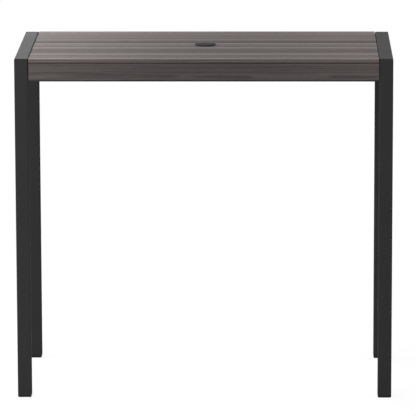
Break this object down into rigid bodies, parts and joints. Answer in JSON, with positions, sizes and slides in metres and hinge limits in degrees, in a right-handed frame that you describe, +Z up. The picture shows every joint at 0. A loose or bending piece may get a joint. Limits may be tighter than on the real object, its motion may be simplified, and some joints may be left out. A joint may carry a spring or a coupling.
{
  "type": "outdoor dining table",
  "caption": "Tall narrow outdoor table with square-tube side frames, a slatted wood-look top, aprons and a capped umbrella hole.",
  "frame": {"origin": "on the floor, under the middle of the top", "axes": "+X along the table to the right of someone in front of it, +Y towards the rear, +Z up"},
  "size_m": [1.219, 0.61, 1.123],
  "materials": {
    "black_frame": "fine-textured black powder coat on steel tube and sheet",
    "board": "grey-brown boards with a fine lengthwise brushed grain",
    "black_plastic": "satin moulded plastic",
    "zinc_steel": "bright zinc plate"
  },
  "bodies": {
    "table": {"left_front_leg": "black_frame", "left_rear_leg": "black_frame", "right_front_leg": "black_frame", "right_rear_leg": "black_frame", "left_top_rail": "black_frame", "right_top_rail": "black_frame", "left_front_foot": "black_plastic", "left_rear_foot": "black_plastic", "right_front_foot": "black_plastic", "right_rear_foot": "black_plastic", "left_front_bracket": "black_frame", "left_rear_bracket": "black_frame", "right_front_bracket": "black_frame", "right_rear_bracket": "black_frame", "front_stretcher": "black_frame", "rear_stretcher": "black_frame", "cross_bar_1": "black_frame", "cross_bar_2": "black_frame", "cross_bar_3": "black_frame", "cross_bar_4": "black_frame", "cross_bar_5": "black_frame", "cross_bar_6": "black_frame", "umbrella_plate": "black_frame", "front_apron": "board", "rear_apron": "board", "slat_01": "board", "slat_02": "board", "slat_03": "board", "slat_04": "board", "slat_05": "board", "slat_06": "board", "slat_07": "board", "slat_08": "board", "slat_09": "board", "slat_10": "board", "slat_11": "board", "slat_12": "board", "slat_13": "board", "slat_14": "board", "umbrella_ring": "black_plastic", "slat_screws": "zinc_steel", "apron_screws": "zinc_steel", "bracket_bolts": "zinc_steel", "bracket_washers": "zinc_steel", "bracket_nuts": "zinc_steel", "rail_bolts": "zinc_steel", "rail_washers": "zinc_steel", "rail_nuts": "zinc_steel"},
    "cap": {"umbrella_cap": "black_plastic"}
  },
  "joints": [
    {"name": "cap_lift", "type": "slide", "parent": "table", "child": "cap", "axis": [0, 0, 1], "range_m": [0, 0.06]}
  ]
}
